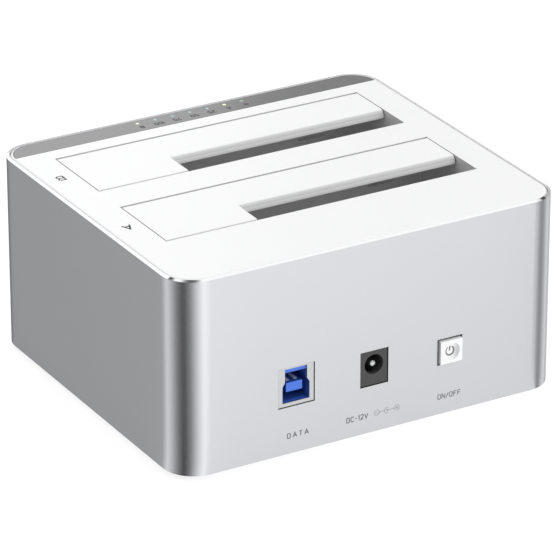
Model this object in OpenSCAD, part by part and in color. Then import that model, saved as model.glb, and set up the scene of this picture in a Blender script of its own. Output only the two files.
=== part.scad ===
// Dual-bay hard drive docking station, in millimetres.
// The origin is on the floor under the middle of the housing, +Z is up,
// the lamp strip runs along the front (-Y) and the sockets are in the rear (+Y).

/* [Housing] */
// Width of the aluminium sleeve, left to right
body_w = 128; // [126:1:150]
// Depth of the sleeve, front to rear
body_d = 113; // [112:1:140]
// Height of the sleeve
sleeve_h = 60.9; // [58:0.1:70]
// Radius of the sleeve's upright corners
corner_r = 10; // [9:0.5:11]
// Thickness of the sleeve's wall
wall = 2; // [1.6:0.1:2.4]
// Width of the polished bevel round the top edge
bevel_w = 0.9; // [0.6:0.1:1.2]
// Height of that bevel
bevel_h = 0.4; // [0.2:0.1:0.8]
// Thickness of the top panel
lid_t = 2; // [1.6:0.1:2.4]
// Rounding of the top panel's outer edge
lid_edge_r = 1; // [0.4:0.1:1.2]
// Thickness of the base plate
base_t = 2; // [1.6:0.1:3]
// Thickness of the sleeve's rim round the base plate
base_lip = 1; // [0.8:0.1:1.2]
// Gap between the sleeve and the panels that drop into it
panel_gap = 0.15; // [0.1:0.05:0.4]

/* [Feet and long screws] */
// How far the feet stand proud of the sleeve
foot_h = 1.5; // [1:0.1:3]
// Diameter of a rubber foot
foot_d = 9; // [8:0.1:9.6]
// Depth of the recess that a foot sits in
foot_sink = 0.6; // [0.4:0.1:1]
// Rounding of a foot's lower edge
foot_edge_r = 0.6; // [0.3:0.1:1]
// Distance of the pillars from the sleeve's sides
pillar_in_x = 7.4; // [7:0.1:8]
// Distance of the pillars from the sleeve's front and rear
pillar_in_y = 8.4; // [8:0.1:9]
// Outer diameter of the pillars
pillar_d = 6; // [5.4:0.1:6.4]
// Height above the base plate where the lid's pillars meet the base's posts
post_h = 9; // [7:0.5:12]
// Diameter of a long screw
base_screw_d = 3; // [2.5:0.1:3.2]
// Length of a long screw under its head
base_screw_l = 16; // [12:0.5:20]

/* [Drive bays] */
// Width of the top beside a slot, out to the sleeve's side: the slot takes the rest
bay_side = 11.95; // [11.9:0.05:14]
// Depth of the top in front of the front slot
bay_front = 15.65; // [15.2:0.05:18]
// Depth of the top between the two slots
bay_between = 12.65; // [10:0.05:15]
// Depth of the top behind the rear slot
bay_rear = 28.5; // [27:0.1:34]
// Length of the notch for a small drive
notch_w = 74; // [71:0.1:76]
// Width of the notch for a small drive
notch_d = 11.4; // [10:0.1:13]
// Height of the wells' floor above the main board
well_floor_h = 4.4; // [4:0.1:6]
// Thickness of the wells' floor
well_floor_t = 1.8; // [1.6:0.1:2.2]
// Thickness of the wells' walls
well_wall = 1.4; // [1.2:0.1:1.6]
// How much wider a well is than its slot, on each side
well_clear = 0.15; // [0.1:0.05:0.4]

/* [Bay doors] */
// Thickness of a door
door_t = 2.5; // [2:0.1:3]
// Rounding of a door's edge along the notch
door_edge_r = 1.9; // [0.4:0.1:1.9]
// Rounding of a door's other free edge
door_tip_r = 0.5; // [0.2:0.1:0.6]
// Gap at the ends of a door
door_gap = 0.35; // [0.25:0.05:0.5]
// Gap along a door's hinged edge
door_hinge_gap = 0.95; // [0.35:0.05:1]
// Gap along a door's free edge, which swings out a little as it opens
door_tip_gap = 0.65; // [0.55:0.05:0.8]
// Gap between an open door and the slot's edge
hang_gap = 0.2; // [0.15:0.05:0.5]
// Gap between an open door and the pocket behind it
pocket_gap = 0.4; // [0.3:0.05:0.8]

/* [Door hinge] */
// Diameter of the hinge pin
hinge_pin_d = 2; // [1.6:0.1:2.2]
// Running clearance round the hinge pin
pin_fit = 0.05; // [0.02:0.01:0.1]
// Radius of a door's knuckles
knuckle_r = 1.75; // [1.7:0.05:2]
// Gap between a knuckle and the top panel
knuckle_gap = 0.25; // [0.2:0.05:0.4]
// Distance of the two arms from the middle of the door
arm_x = 38; // [36:0.5:40]
// Width of an arm
arm_w = 8; // [6:0.5:9]
// Thickness of an arm
arm_t = 2.2; // [1.8:0.1:2.4]
// How far an arm reaches under its door
arm_reach = 4; // [3:0.1:6]
// Width of one of the lid's hinge ears
ear_w = 2.5; // [2:0.1:3]
// Outer radius of a hinge ear
ear_r = 2.4; // [2.2:0.1:2.8]
// Side gap between an arm and its ears
ear_gap = 0.3; // [0.2:0.05:0.5]
// Wire diameter of a door spring
wire_d = 0.5; // [0.4:0.05:0.5]
// Radius of a door spring's coil, at the middle of the wire
coil_r = 1.5; // [1.45:0.01:1.5]
// Turns in a door spring
coil_turns = 5; // [3:1:6]
// Gap between neighbouring turns
coil_gap = 0.45; // [0.42:0.01:0.6]
// Length of a spring's leg under the door
door_leg = 9; // [8:0.5:12]
// Length of a spring's leg that bears on the lid
lid_leg = 5; // [4:0.5:6]

/* [Lamp strip] */
// Thickness of the lamp strip
strip_t = 1; // [0.8:0.1:1.2]
// Gap round the strip
strip_gap = 0.1; // [0.05:0.05:0.2]
// Diameter of a lamp
lamp_d = 1.1; // [0.9:0.1:1.8]
// Distance between lamps
lamp_pitch = 6; // [5:0.1:6.4]
// Distance of the lamps from the sleeve's front
lamp_in = 4.1; // [3.8:0.1:4.6]
// Clearance round a lamp
lamp_fit = 0.05; // [0.03:0.01:0.1]
// Diameter of a lamp's collar under the panel
collar_d = 2.6; // [2.2:0.1:3]
// Length of the lamp board
lamp_board_w = 54; // [50:0.5:55]
// Width of the lamp board
lamp_board_d = 5; // [4.6:0.1:5.2]
// Thickness of the lamp board
lamp_board_t = 1; // [0.8:0.1:1.6]
// Distance from the panel down to the lamp board
lamp_board_drop = 4.5; // [4:0.1:6]
// Height of a light-emitting diode
led_h = 1; // [0.6:0.1:1.2]

/* [Main board and sockets] */
// Height of the main board's top face above the base plate
board_h = 13.1; // [12:0.1:15]
// Thickness of the main board
board_t = 1.6; // [1:0.1:2]
// How far the main board's sides lie within the sides of the drive cage
board_side = 1.3; // [1.2:0.1:3]
// Gap between the main board and the sleeve's rear wall
board_gap = 0.5; // [0.3:0.1:1]
// Gap between the main board and the sleeve's front wall
board_front = 1.5; // [0.5:0.1:2]
// Length of a drive socket
sata_l = 42; // [41:0.1:43]
// Width of a drive socket
sata_w = 6; // [5.6:0.1:6.6]
// Height of a drive socket
sata_h = 9; // [8.4:0.1:10]
// Offset of the drive sockets from the middle of the bays
sata_x = -20.7; // [-22:0.1:-19]
// Distance of the drive sockets from the slot's rear edge
sata_in = 4.4; // [4:0.1:5]
// Width of the data socket
usb_w = 11.7; // [11.4:0.1:12.4]
// Height of the data socket
usb_h = 12.1; // [11.8:0.1:12.6]
// Length of the data socket
usb_l = 16; // [14:0.5:18]
// Offset of the data socket from the middle
usb_x = 25.9; // [22:0.1:30]
// Width of the power inlet
jack_w = 9; // [8.8:0.1:10]
// Height of the power inlet
jack_h = 10.8; // [10.6:0.1:12]
// Length of the power inlet
jack_l = 14; // [12:0.5:15]
// Diameter of the power inlet's hole
jack_bore_d = 6.2; // [5.8:0.1:6.6]
// Depth of the power inlet's hole
jack_bore_l = 9.5; // [9:0.1:10.5]
// Diameter of the power inlet's pin
jack_pin_d = 2; // [1.6:0.1:2.6]
// Height of the hole's middle above the middle of the power inlet
jack_up = 1.05; // [0.5:0.05:1.5]
// Gap between a socket and its cut-out
port_gap = 0.2; // [0.15:0.05:0.4]
// How far a socket's face lies behind the sleeve's
port_sink = 0.3; // [0.2:0.1:0.6]

/* [Power button] */
// Width of the button's cap
button_w = 7.4; // [7:0.1:9]
// Height of the button's cap
button_h = 7.2; // [7:0.1:9]
// Offset of the button from the middle
button_x = -25.6; // [-30:0.1:-22]
// Height of the button's middle above the main board
button_up = 4.9; // [4.6:0.1:6]
// Gap round the button's cap
button_gap = 0.55; // [0.3:0.05:0.6]
// How far the cap stands proud of the sleeve
button_proud = 1; // [0.2:0.1:1.6]
// Travel of the button
button_travel = 1.5; // [1:0.1:2]
// Diameter of the finger dish in the cap
dish_d = 5.6; // [4.6:0.1:6]
// Depth of that dish
dish_depth = 0.9; // [0.3:0.05:1.2]
// Width of the switch's plunger
plunger_w = 3; // [2.6:0.1:3.4]

/* [Hidden] */
$fn = 48;

// Colours
silver = "#c4c6c9";
white = "#f4f5f6";
strip_grey = "#8d8e90";
cage_grey = "#6a6b6c";
rubber_grey = "#2c2d2e";
steel = "#b0b3b7";
board_green = "#1f5a3a";
black = "#2a2b2d";
gold = "#c9a24a";
nickel = "#d8d6d0";
port_blue = "#1d4fc4";
jack_grey = "#4a4b4d";
amber = "#f0c040";
cyan = "#59c8d8";
green = "#5fd08a";

// A little extra for cuts that pass right through
cut = 1;

// Heights
sleeve_z = foot_h;
lid_top = sleeve_z + sleeve_h;
lid_under = lid_top - lid_t;
base_top = sleeve_z + base_t;
board_top = base_top + board_h;
board_under = board_top - board_t;
floor_top = board_top + well_floor_h;
floor_under = floor_top - well_floor_t;

// Faces
front_y = -body_d / 2;
rear_y = body_d / 2;
front_in = front_y + wall;
rear_in = rear_y - wall;
side_in = body_w / 2 - wall;

// Pillars, feet and long screws
pillar_x = body_w / 2 - pillar_in_x;
pillar_y = body_d / 2 - pillar_in_y;
pillar_foot = base_top + post_h;
screw_fit = 0.05;
clear_fit = 0.2;
head_room = 0.4;
head_gap = 0.3;
post_wall = 1.3;

// Slots: two of them share the depth that the bars of the top leave
slot_w = body_w - 2 * bay_side;
slot_d = (body_d - bay_front - bay_between - bay_rear) / 2;
bay_pitch = slot_d + bay_between;
bay_a_y = rear_y - bay_rear - slot_d / 2;

// Hinge, from the middle of each slot's front edge
hinge_drop = lid_t + knuckle_gap + knuckle_r;
hinge_set = hinge_drop + hang_gap;
hinge_z = lid_top - hinge_drop;
ear_outer = arm_x + arm_w / 2 + ear_gap + ear_w;
door_front = hinge_set + door_hinge_gap;
door_deep = slot_d - door_hinge_gap - door_tip_gap;
door_shallow = slot_d - door_hinge_gap - notch_d;
door_half = slot_w / 2 - door_gap;
arm_end = door_front + arm_reach;
step_x = notch_w - slot_w / 2;

// Spring, beside the inner ear of the right-hand arm
coil_pitch = wire_d + coil_gap;
coil_l = coil_turns * coil_pitch;
spring_side = 1;
spring_end = arm_x - arm_w / 2 - ear_gap - ear_w - spring_side;
leg_gap = 0.1;
leg_slope = atan((coil_r + wire_d / 2 - hinge_drop + door_t + leg_gap) / door_front);
rib_t = 1.5;
rib_w = 3;
rib_gap = 0.05;
rib_over = 0.3;

// Wells
well_half = slot_w / 2 + well_clear;
cage_half = well_half + well_wall;
pocket_face = hinge_drop - door_t - pocket_gap;
swing_gap = 0.5;
hinge_wall_top = hinge_z - ear_r - swing_gap;
arm_notch_z = hinge_z - arm_end - swing_gap;
arm_notch_w = arm_w + 4 * ear_gap;
arm_pocket_face = knuckle_r - arm_t - pocket_gap;

// Groove in the pocket for a spring's leg when its door is open
leg_side = 0.4;
leg_back = 0.2;
leg_groove_w = wire_d + 2 * leg_side;
leg_groove_face = coil_r * cos(leg_slope) - door_leg * sin(leg_slope) - wire_d / 2 - leg_back;
leg_groove_z = hinge_z - coil_r * sin(leg_slope) - door_leg * cos(leg_slope) - swing_gap;

// Tabs that hold the cage to the panel
tab_x = (cage_half + side_in) / 2;
tab_d = 8;
tab_t = 2.5;
tab_drop = 10;
tab_top = lid_under - tab_drop;
tab_end_gap = 1;
tab_shift = 6;
tab_ys = [bay_a_y + tab_shift, bay_a_y - bay_pitch - tab_shift];
tab_boss_d = 5.6;
cage_screw_d = 2.5;
cage_screw_l = 8;

// Main board, and the posts under the wells that carry it
board_w = 2 * (cage_half - board_side);
board_rear = rear_in - board_gap;
board_d = board_rear - front_in - board_front;
board_post_d = 5;
board_post_in = 6;
board_post_x = board_w / 2 - board_post_in;
board_post_shift = 7;
board_screw_d = 2;
board_screw_l = 4.6;
screw_tip_gap = 0.4;

// Lamps, from the power lamp at the left of the front to the lamp of bay B
lamp_y = front_y + lamp_in;
strip_edge = front_y + corner_r;
lamp_board_gap = 0.6;
lamp_board_front = front_in + lamp_board_gap;
lamp_board_top = lid_under - lamp_board_drop;
lamp_board_under = lamp_board_top - lamp_board_t;
lamp_boss_d = 4;
lamp_boss_in = 3;
lamp_boss_x = lamp_board_w / 2 - lamp_boss_in;
lamp_boss_y = lamp_board_front + lamp_board_d / 2;
lamp_screw_d = 1.6;
lamp_screw_l = 4;
collar_t = 1;

// Flat cable between the two boards
cable_w = 6;
cable_t = 0.3;
cable_x = 12;
cable_socket_w = 8;
cable_socket_d = 2.4;
cable_socket_h = 2.2;
cable_in = 1.4;

// Rear sockets
usb_sheet = 0.4;
usb_lip = 0.5;
usb_mouth_w = 8.9;
usb_mouth_low = 1.1;
usb_mouth_high = 7.6;
usb_mouth_slope = 1.3;
usb_throat_w = 7.3;
usb_throat_drop = 1.7;
usb_tongue_w = 5.3;
usb_tongue_h = 2.8;
usb_tongue_low = 4;
usb_tongue_sink = 1.1;
usb_cavity_l = 9;
usb_fit = 0.05;
jack_z = board_top + jack_h / 2 + jack_up;
jack_pin_sink = 0.4;
jack_pin_tip = 0.6;
jack_spring_t = 0.3;
jack_spring_w = 2;
jack_spring_gap = 0.5;
jack_groove_in = 2;
jack_groove_deep = 0.6;
jack_groove_z = jack_z - jack_bore_d / 2 - jack_groove_deep;
button_z = board_top + button_up;
flange_w = 1.2;
flange_t = 1.2;
flange_gap = 0.4;
switch_w = 8.4;
switch_l = 9;
switch_gap = 3;
plunger_fit = 0.3;
plunger_in = 3;
plunger_face = rear_in - flange_gap - flange_t;
switch_face = plunger_face - button_travel - switch_gap;

function bay_y(bay) = bay_a_y - bay * bay_pitch;
function slot_front(bay) = bay_y(bay) - slot_d / 2;
function slot_rear(bay) = bay_y(bay) + slot_d / 2;
function hinge_y(bay) = slot_front(bay) - hinge_set;
function sata_y(bay) = slot_rear(bay) - sata_in;
function board_post_y(bay) = bay_y(bay) - board_post_shift;
function lamp_x(i) = (i - 3) * lamp_pitch;
function head_d(d) = 1.8 * d;
function head_h(d) = 0.62 * d;
base_seat = sleeve_z + foot_sink + head_room + head_h(base_screw_d);

// A rounded rectangle about the origin
module rounded_rect(w, d, r) {
    square([w - 2 * r, d], center = true);
    square([w, d - 2 * r], center = true);
    for (sx = [-1, 1], sy = [-1, 1])
        translate([sx * (w / 2 - r), sy * (d / 2 - r)]) circle(r);
}

// A quarter of a disc, outwards and up from the origin
module quarter_round(r) {
    intersection() {
        circle(r);
        square(r);
    }
}

// A block from its lowest corner, with its X range given as middle and width
module block(x, w, y0, y1, z0, z1) {
    translate([x - w / 2, y0, z0]) cube([w, y1 - y0, z1 - z0]);
}

// A YZ outline drawn along X, centred on x
module along_x(x, w) {
    translate([x - w / 2, 0, 0]) rotate([90, 0, 90]) linear_extrude(height = w) children();
}

// Copies at the four corners
module at_corners(x, y) {
    for (sx = [-1, 1], sy = [-1, 1]) translate([sx * x, sy * y, 0]) children();
}

// A pan-head screw with its head down at z and its shank up
module pan_screw(d, l, z) {
    slot_l = 1.05 * d;
    slot_t = 0.28 * d;
    slot_h = 0.4 * d;
    difference() {
        union() {
            translate([0, 0, z - head_h(d)]) cylinder(d = head_d(d), h = head_h(d));
            translate([0, 0, z]) cylinder(d = d, h = l);
        }
        for (a = [0, 90]) rotate([0, 0, a])
            translate([-slot_l / 2, -slot_t / 2, z - head_h(d) - cut]) cube([slot_l, slot_t, slot_h + cut]);
    }
}

// The sleeve's wall in section, from the middle of a corner outwards
module wall_section() {
    polygon([
        [corner_r, sleeve_z],
        [corner_r, lid_top - bevel_h],
        [corner_r - bevel_w, lid_top],
        [corner_r - bevel_w, lid_under],
        [corner_r - wall, lid_under],
        [corner_r - wall, base_top],
        [corner_r - base_lip, base_top],
        [corner_r - base_lip, sleeve_z]
    ]);
}

// Half of the sleeve's ring: one long side, one short side and two corners
module half_ring() {
    cx = body_w / 2 - corner_r;
    cy = body_d / 2 - corner_r;
    translate([cx, cy, 0]) rotate_extrude(angle = 90) wall_section();
    translate([-cx, cy, 0]) rotate([0, 0, 90]) rotate_extrude(angle = 90) wall_section();
    translate([cx, cy, 0]) rotate([90, 0, 0]) linear_extrude(height = 2 * cy) wall_section();
    translate([-cx, cy, 0]) rotate([90, 0, 90]) linear_extrude(height = 2 * cx) wall_section();
}

module sleeve() {
    color(silver) difference() {
        for (a = [0, 180]) rotate([0, 0, a]) half_ring();
        block(usb_x, usb_w + 2 * port_gap, rear_in - cut, rear_y + cut,
            board_top - port_gap, board_top + usb_h + port_gap);
        block(0, jack_w + 2 * port_gap, rear_in - cut, rear_y + cut,
            board_top - port_gap, board_top + jack_h + port_gap);
        block(button_x, button_w + 2 * button_gap, rear_in - cut, rear_y + cut,
            button_z - button_h / 2 - button_gap, button_z + button_h / 2 + button_gap);
    }
}

// The top panel's plate in section, from the middle of a corner outwards, with its outer edge rounded
lid_in = bevel_w + panel_gap;
lid_corner_r = corner_r - lid_in;
module lid_section() {
    square([lid_corner_r - lid_edge_r, lid_t]);
    square([lid_corner_r, lid_t - lid_edge_r]);
    translate([lid_corner_r - lid_edge_r, lid_t - lid_edge_r]) quarter_round(lid_edge_r);
}

// The top panel's plate: its middle, four sides and four corners
module lid_plate() {
    cx = body_w / 2 - corner_r;
    cy = body_d / 2 - corner_r;
    translate([-cx, -cy, 0]) cube([2 * cx, 2 * cy, lid_t]);
    for (a = [0, 180]) rotate([0, 0, a]) {
        translate([cx, cy, 0]) rotate_extrude(angle = 90) lid_section();
        translate([-cx, cy, 0]) rotate([0, 0, 90]) rotate_extrude(angle = 90) lid_section();
        translate([cx, cy, 0]) rotate([90, 0, 0]) linear_extrude(height = 2 * cy) lid_section();
        translate([-cx, cy, 0]) rotate([90, 0, 90]) linear_extrude(height = 2 * cx) lid_section();
    }
}

// Outline of the lamp strip within the panel's rounded edge, and of its recess when grown by the gap
module strip_outline(grow) {
    strip_in = lid_in + lid_edge_r - grow;
    intersection() {
        rounded_rect(body_w - 2 * strip_in, body_d - 2 * strip_in, corner_r - strip_in);
        front_of(strip_edge - strip_gap + grow);
    }
}

// Everything in front of a line across the housing
module front_of(y) {
    translate([-body_w / 2, front_y - cut]) square([body_w, y - front_y + cut]);
}

// The two ears beside one arm of a door
module hinge_ears(bay, x) {
    for (side = [-1, 1]) along_x(x + side * (arm_w / 2 + ear_gap + ear_w / 2), ear_w) {
        translate([hinge_y(bay), hinge_z]) circle(ear_r);
        translate([hinge_y(bay) - ear_r, hinge_z]) square([2 * ear_r, lid_under - hinge_z + lid_t / 2]);
    }
}

// The rib that takes the leg of a door spring
module spring_rib(bay) {
    rib_face = hinge_y(bay) - coil_r - wire_d / 2 - rib_gap;
    block(spring_end, rib_w, rib_face - rib_t, rib_face, hinge_z - lid_leg - rib_over, lid_under + lid_t / 2);
}

module top_panel() {
    boss_top = lid_under + lid_t / 2;
    color(white) difference() {
        union() {
            translate([0, 0, lid_under]) lid_plate();
            at_corners(pillar_x, pillar_y) translate([0, 0, pillar_foot])
                cylinder(d = pillar_d, h = boss_top - pillar_foot);
            for (sx = [-1, 1], y = tab_ys) translate([sx * tab_x, y, tab_top])
                cylinder(d = tab_boss_d, h = boss_top - tab_top);
            for (sx = [-1, 1]) translate([sx * lamp_boss_x, lamp_boss_y, lamp_board_top])
                cylinder(d = lamp_boss_d, h = lid_under + (lid_t - strip_t) / 2 - lamp_board_top);
            for (bay = [0, 1], sx = [-1, 1]) hinge_ears(bay, sx * arm_x);
            for (bay = [0, 1]) spring_rib(bay);
        }
        for (bay = [0, 1]) {
            block(0, slot_w, slot_front(bay), slot_rear(bay), lid_under - cut, lid_top + cut);
            along_x(0, 2 * ear_outer + 2 * cut) translate([hinge_y(bay), hinge_z])
                circle(d = hinge_pin_d + 2 * pin_fit);
        }
        translate([0, 0, lid_top - strip_t]) linear_extrude(height = strip_t + cut) strip_outline(strip_gap);
        for (i = [0 : 6]) translate([lamp_x(i), lamp_y, lid_under - cut])
            cylinder(d = lamp_d + 2 * lamp_fit, h = lid_t + 2 * cut);
        at_corners(pillar_x, pillar_y) translate([0, 0, pillar_foot - cut])
            cylinder(d = base_screw_d + 2 * screw_fit, h = base_screw_l + cut);
        for (sx = [-1, 1], y = tab_ys) translate([sx * tab_x, y, tab_top - cut])
            cylinder(d = cage_screw_d + 2 * screw_fit, h = cage_screw_l + cut);
        for (sx = [-1, 1]) translate([sx * lamp_boss_x, lamp_boss_y, lamp_board_top - cut])
            cylinder(d = lamp_screw_d + 2 * screw_fit, h = lamp_screw_l + cut);
    }
}

module indicator_strip() {
    color(strip_grey) difference() {
        translate([0, 0, lid_top - strip_t]) linear_extrude(height = strip_t) strip_outline(0);
        for (i = [0 : 6]) translate([lamp_x(i), lamp_y, lid_top - strip_t - cut])
            cylinder(d = lamp_d + 2 * lamp_fit, h = strip_t + 2 * cut);
    }
}

// One well of the cage, with its floor and a pocket in front for the open door and its two arms
module well_shell(bay) {
    y0 = hinge_y(bay) + pocket_face;
    block(0, 2 * cage_half, y0 - well_wall, slot_rear(bay) + well_clear + well_wall, floor_under, lid_under);
    for (sx = [-1, 1])
        block(sx * arm_x, arm_notch_w + 2 * well_wall, hinge_y(bay) + arm_pocket_face - well_wall, y0,
            arm_notch_z - well_wall, hinge_wall_top);
}

module well_hollow(bay) {
    y0 = hinge_y(bay) + pocket_face;
    y1 = slot_rear(bay) + well_clear;
    block(0, 2 * well_half, y0, y1, floor_top, lid_under + cut);
    block(0, 2 * cage_half + 2 * cut, y0 - well_wall - cut, y0, hinge_wall_top, lid_under + cut);
    for (sx = [-1, 1])
        block(sx * arm_x, arm_notch_w, hinge_y(bay) + arm_pocket_face, y0 + cut,
            arm_notch_z, lid_under + cut);
    block(spring_end - coil_l, leg_groove_w, hinge_y(bay) + leg_groove_face, y0 + cut,
        leg_groove_z, lid_under + cut);
    block(sata_x, sata_l + 4 * port_gap, sata_y(bay) - sata_w / 2 - 2 * port_gap,
        sata_y(bay) + sata_w / 2 + 2 * port_gap, floor_under - cut, floor_top + cut);
}

module drive_cage() {
    web_front = slot_rear(1) + well_clear;
    web_rear = hinge_y(0) + pocket_face;
    color(cage_grey) difference() {
        union() {
            for (bay = [0, 1]) well_shell(bay);
            for (sx = [-1, 1])
                block(sx * (cage_half - well_wall / 2), well_wall, web_front, web_rear, floor_under, tab_top);
            block(0, 2 * cage_half, web_front, web_rear, floor_under, floor_top);
            for (sx = [-1, 1], y = tab_ys)
                block(sx * (well_half + side_in - tab_end_gap) / 2, side_in - tab_end_gap - well_half,
                    y - tab_d / 2, y + tab_d / 2, tab_top - tab_t, tab_top);
            for (sx = [-1, 1], bay = [0, 1])
                translate([sx * board_post_x, board_post_y(bay), board_top])
                    cylinder(d = board_post_d, h = floor_top - board_top - well_floor_t / 2);
        }
        for (bay = [0, 1]) well_hollow(bay);
        for (sx = [-1, 1], y = tab_ys) translate([sx * tab_x, y, tab_top - tab_t - cut])
            cylinder(d = cage_screw_d + 2 * screw_fit, h = tab_t + 2 * cut);
        for (sx = [-1, 1], bay = [0, 1])
            translate([sx * board_post_x, board_post_y(bay), board_top - cut])
                cylinder(d = board_screw_d + 2 * screw_fit,
                    h = board_screw_l - board_t + screw_tip_gap + cut);
    }
}

module base_plate() {
    base_in = base_lip + panel_gap;
    post_d = head_d(base_screw_d) + 2 * head_gap + 2 * post_wall;
    beam_t = 1.6;
    beam_h = 3;
    color(white) difference() {
        union() {
            translate([0, 0, sleeve_z]) linear_extrude(height = base_t)
                rounded_rect(body_w - 2 * base_in, body_d - 2 * base_in, corner_r - base_in);
            at_corners(pillar_x, pillar_y) translate([0, 0, sleeve_z])
                cylinder(d = post_d, h = pillar_foot - sleeve_z);
            for (sx = [-1, 1])
                block(sx * pillar_x / 2, beam_t, -pillar_y, pillar_y, base_top - cut, base_top + beam_h);
            for (sy = [-1, 1])
                block(0, 2 * pillar_x, (sy * pillar_y - beam_t) / 2, (sy * pillar_y + beam_t) / 2,
                    base_top - cut, base_top + beam_h);
        }
        at_corners(pillar_x, pillar_y) {
            translate([0, 0, sleeve_z - cut]) cylinder(d = foot_d + 2 * screw_fit, h = foot_sink + cut);
            translate([0, 0, sleeve_z - cut])
                cylinder(d = head_d(base_screw_d) + 2 * head_gap, h = base_seat - sleeve_z + cut);
            translate([0, 0, sleeve_z - cut])
                cylinder(d = base_screw_d + 2 * clear_fit, h = pillar_foot - sleeve_z + 2 * cut);
        }
    }
}

// A rubber foot, with its lower edge rounded
module foot(sx, sy) {
    color(rubber_grey) translate([sx * pillar_x, sy * pillar_y, 0]) rotate_extrude() {
        square([foot_d / 2 - foot_edge_r, foot_h + foot_sink]);
        translate([0, foot_edge_r]) square([foot_d / 2, foot_h + foot_sink - foot_edge_r]);
        translate([foot_d / 2 - foot_edge_r, foot_edge_r]) circle(foot_edge_r);
    }
}

module base_screws() {
    color(steel) at_corners(pillar_x, pillar_y) pan_screw(base_screw_d, base_screw_l, base_seat);
}

module cage_screws() {
    color(steel) for (sx = [-1, 1], y = tab_ys)
        translate([sx * tab_x, y, 0]) pan_screw(cage_screw_d, cage_screw_l, tab_top - tab_t);
}

module board_screws() {
    color(steel) for (sx = [-1, 1], bay = [0, 1])
        translate([sx * board_post_x, board_post_y(bay), 0])
            pan_screw(board_screw_d, board_screw_l, board_under);
}

module lamp_board_screws() {
    color(steel) for (sx = [-1, 1])
        translate([sx * lamp_boss_x, lamp_boss_y, 0]) pan_screw(lamp_screw_d, lamp_screw_l, lamp_board_under);
}

// A door's plate in section, from its hinge edge, with its free top edge rounded
module door_section(depth, r) {
    square([depth - r, door_t]);
    square([depth, door_t - r]);
    translate([depth - r, door_t - r]) quarter_round(r);
}

// One arm in section about the hinge axis, before the pin's bore is cut
module arm_section() {
    circle(knuckle_r);
    translate([0, knuckle_r - arm_t]) square([arm_end, arm_t]);
    translate([door_front, knuckle_r - arm_t])
        square([arm_reach, hinge_drop - door_t / 2 - knuckle_r + arm_t]);
}

module bay_door(bay) {
    plate_y = slot_front(bay) + door_hinge_gap;
    deep_w = door_half - step_x;
    color(white) difference() {
        union() {
            along_x(0, 2 * door_half) translate([plate_y, lid_top - door_t])
                door_section(door_shallow, door_edge_r);
            along_x(step_x + deep_w / 2, deep_w) translate([plate_y, lid_top - door_t])
                door_section(door_deep, door_tip_r);
            for (sx = [-1, 1]) along_x(sx * arm_x, arm_w) translate([hinge_y(bay), hinge_z]) arm_section();
        }
        along_x(0, 2 * ear_outer + 2 * cut) translate([hinge_y(bay), hinge_z])
            circle(d = hinge_pin_d + 2 * pin_fit);
    }
}

module door_pin(bay) {
    color(steel) along_x(0, 2 * ear_outer) translate([hinge_y(bay), hinge_z]) circle(d = hinge_pin_d);
}

// Path of a door spring about the hinge axis: the leg under the door, the coil, then the leg on the lid
coil_steps = 8;
coil_from = 90 - leg_slope;
coil_to = 180 + 360 * (coil_turns - 1);
coil_n = ceil((coil_to - coil_from) * coil_steps / 360);
function coil_point(i) =
    let (a = coil_from + (coil_to - coil_from) * i / coil_n)
    [spring_end - coil_l + coil_l * i / coil_n, coil_r * cos(a), coil_r * sin(a)];
coil_points = [for (i = [0 : coil_n]) coil_point(i)];
spring_path = concat(
    [coil_points[0] + [0, door_leg * cos(leg_slope), -door_leg * sin(leg_slope)]],
    coil_points,
    [coil_points[coil_n] - [0, 0, lid_leg]]);

// Least gap between two turns of a door spring, on the points of its path
coil_least_gap = min([
    for (i = [0 : coil_n], j = [i + coil_steps / 2 : 1 : coil_n])
        norm(coil_points[i] - coil_points[j])]) - wire_d;
echo(least_gap_between_spring_turns = coil_least_gap);

function unit(v) = v / norm(v);

// A round wire swept along a path that never runs along X
module wire(path, d, sides) {
    last = len(path) - 1;
    rings = [for (i = [0 : last])
        let (t = unit(path[min(i + 1, last)] - path[max(i - 1, 0)]),
            side = unit(cross(t, [1, 0, 0])),
            up = cross(side, t))
        [for (k = [0 : sides - 1])
            path[i] + d / 2 * (cos(360 * k / sides) * side + sin(360 * k / sides) * up)]];
    points = [for (ring = rings) each ring];
    ends = [
        [for (k = [1 : sides - 2]) [0, k, k + 1]],
        [for (k = [1 : sides - 2]) [last * sides, last * sides + k + 1, last * sides + k]]];
    skin = [for (i = [0 : last - 1], k = [0 : sides - 1])
        let (a = i * sides + k, b = i * sides + (k + 1) % sides)
        each [[a, a + sides, b], [b, a + sides, b + sides]]];
    polyhedron(points, concat(skin, ends[0], ends[1]));
}

module door_spring(bay) {
    color(steel) translate([0, hinge_y(bay), hinge_z]) wire(spring_path, wire_d, 6);
}

module main_board() {
    color(board_green) difference() {
        block(0, board_w, board_rear - board_d, board_rear, board_under, board_top);
        for (sx = [-1, 1], bay = [0, 1])
            translate([sx * board_post_x, board_post_y(bay), board_under - cut])
                cylinder(d = board_screw_d + 2 * screw_fit, h = board_t + 2 * cut);
    }
}

// Drive socket: two slots with keys, one for data and one for power
contact_pitch = 1.27;
data_contacts = 7;
power_contacts = 15;
key_l = 1.4;
sata_end = 3.8;
sata_slot_w = 1.9;
sata_slot_deep = 6;
data_l = data_contacts * contact_pitch + key_l;
power_l = power_contacts * contact_pitch + key_l;
data_from = sata_x + sata_l / 2 - sata_end - data_l;
power_from = sata_x - sata_l / 2 + sata_end;
sata_top = board_top + sata_h;
sata_guide_h = 1.6;
sata_guide_w = 1.9;
sata_guide_d = 3;
sata_guide_in = 0.3;

module sata_slot(x0, l, y) {
    z0 = sata_top - sata_guide_h - sata_slot_deep;
    translate([x0, y - sata_slot_w / 2, z0]) cube([l, sata_slot_w, sata_slot_deep + cut]);
    translate([x0, y - sata_slot_w / 2, z0]) cube([key_l, sata_slot_w + key_l / 2, sata_slot_deep + cut]);
}

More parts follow.
